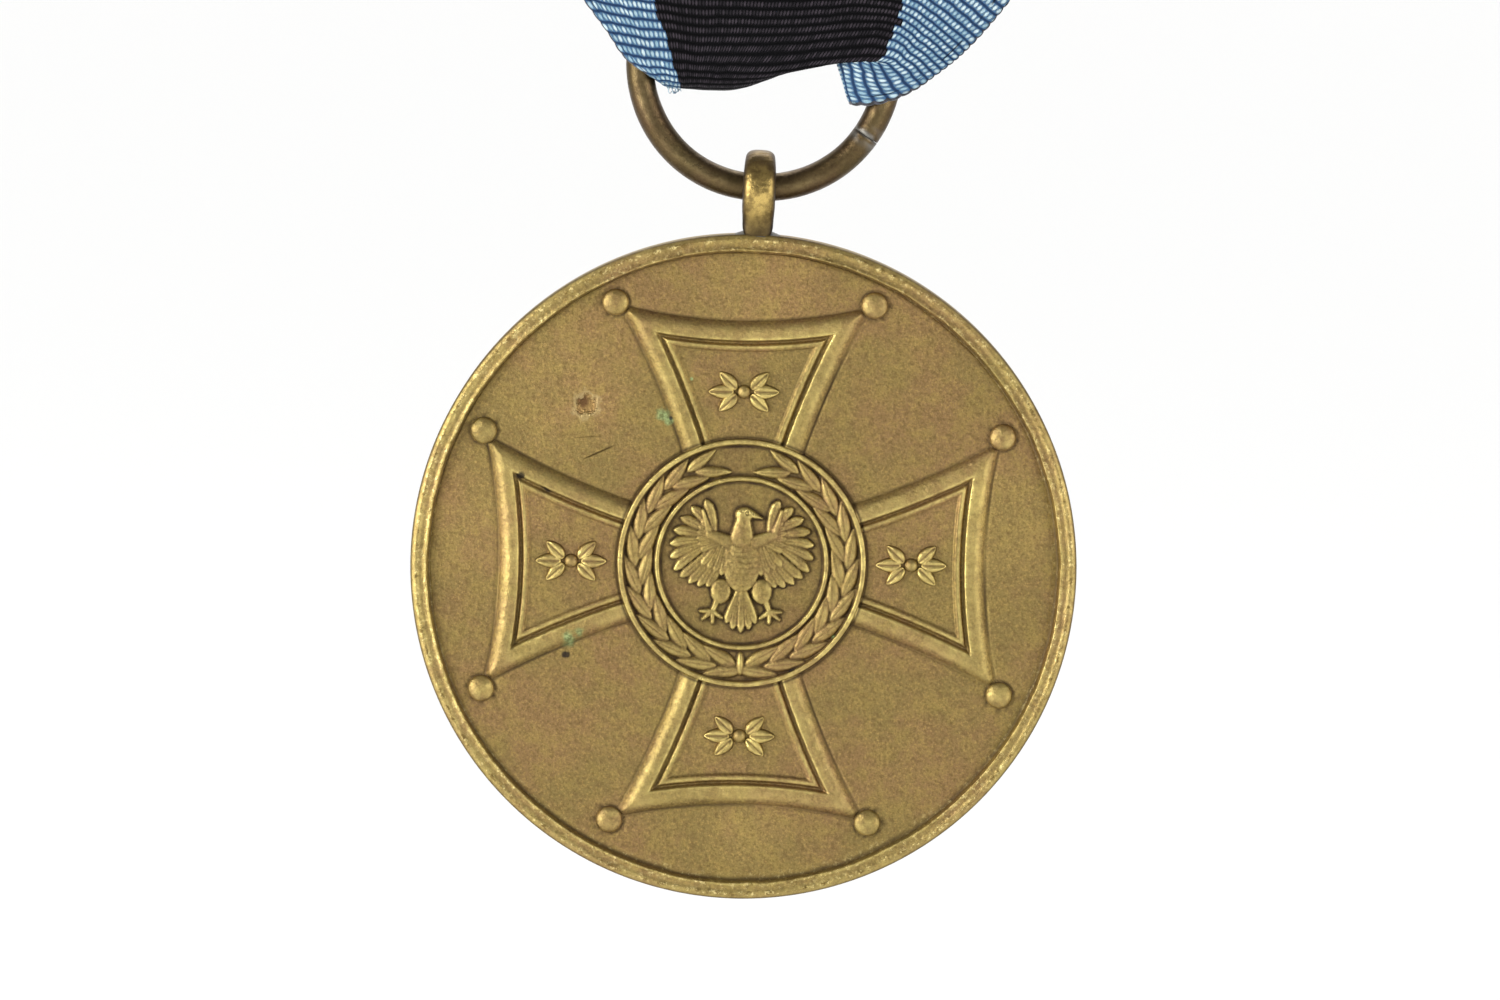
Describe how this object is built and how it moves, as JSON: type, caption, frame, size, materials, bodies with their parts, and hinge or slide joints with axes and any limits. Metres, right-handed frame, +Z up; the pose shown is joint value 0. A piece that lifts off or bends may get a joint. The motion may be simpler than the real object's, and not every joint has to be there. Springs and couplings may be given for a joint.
{
  "type": "medal on ribbon",
  "caption": "Round bronze medal with a raised flared cross and wreathed centre, hung by a loop and wire ring from a striped ribbon with a pin brooch behind.",
  "frame": {"origin": "on the brooch pin's axis, in the middle of its shaft", "axes": "+X along the pin towards its point and to the viewer's right, +Z up the ribbon, the medal's front faces -Y"},
  "size_m": [0.033, 0.0075, 0.0884],
  "materials": {
    "medal_bronze": "aged bronze, worn bright on the relief",
    "ring_bronze": "dark patina, worn in places",
    "solder": "dull",
    "ribbon_cloth": "ribbed silk, light blue edges",
    "stiffener": "mill",
    "brooch_metal": "dull lacquer",
    "pin_steel": "drawn wire",
    "thread": "matt"
  },
  "bodies": {
    "ribbon_and_brooch": {"ribbon": "ribbon_cloth", "stiffener_bar": "stiffener", "brooch_plate": "brooch_metal", "pin_bracket": "brooch_metal", "hinge_rivet": "brooch_metal", "pin_catch": "brooch_metal", "hem_stitches": "thread", "plate_stitches": "thread"},
    "pin": {"pin_stem": "pin_steel"},
    "ring": {"suspension_ring": "ring_bronze"},
    "medal": {"medal_disc": "medal_bronze", "suspension_loop": "ring_bronze", "loop_solder": "solder"}
  },
  "joints": [
    {"name": "pin_open", "type": "hinge", "parent": "ribbon_and_brooch", "child": "pin", "pos_m": [-0.0115, 0, 0], "axis": [0, 0, 1], "range_deg": [0, 100]},
    {"name": "ring_turn", "type": "hinge", "parent": "ribbon_and_brooch", "child": "ring", "pos_m": [0, -0.00443, -0.0405], "axis": [0, 1, 0], "range_deg": [-50, 50]},
    {"name": "medal_swing", "type": "hinge", "parent": "ring", "child": "medal", "pos_m": [0, -0.00443, -0.04665], "axis": [1, 0, 0], "range_deg": [-120, 120]}
  ]
}
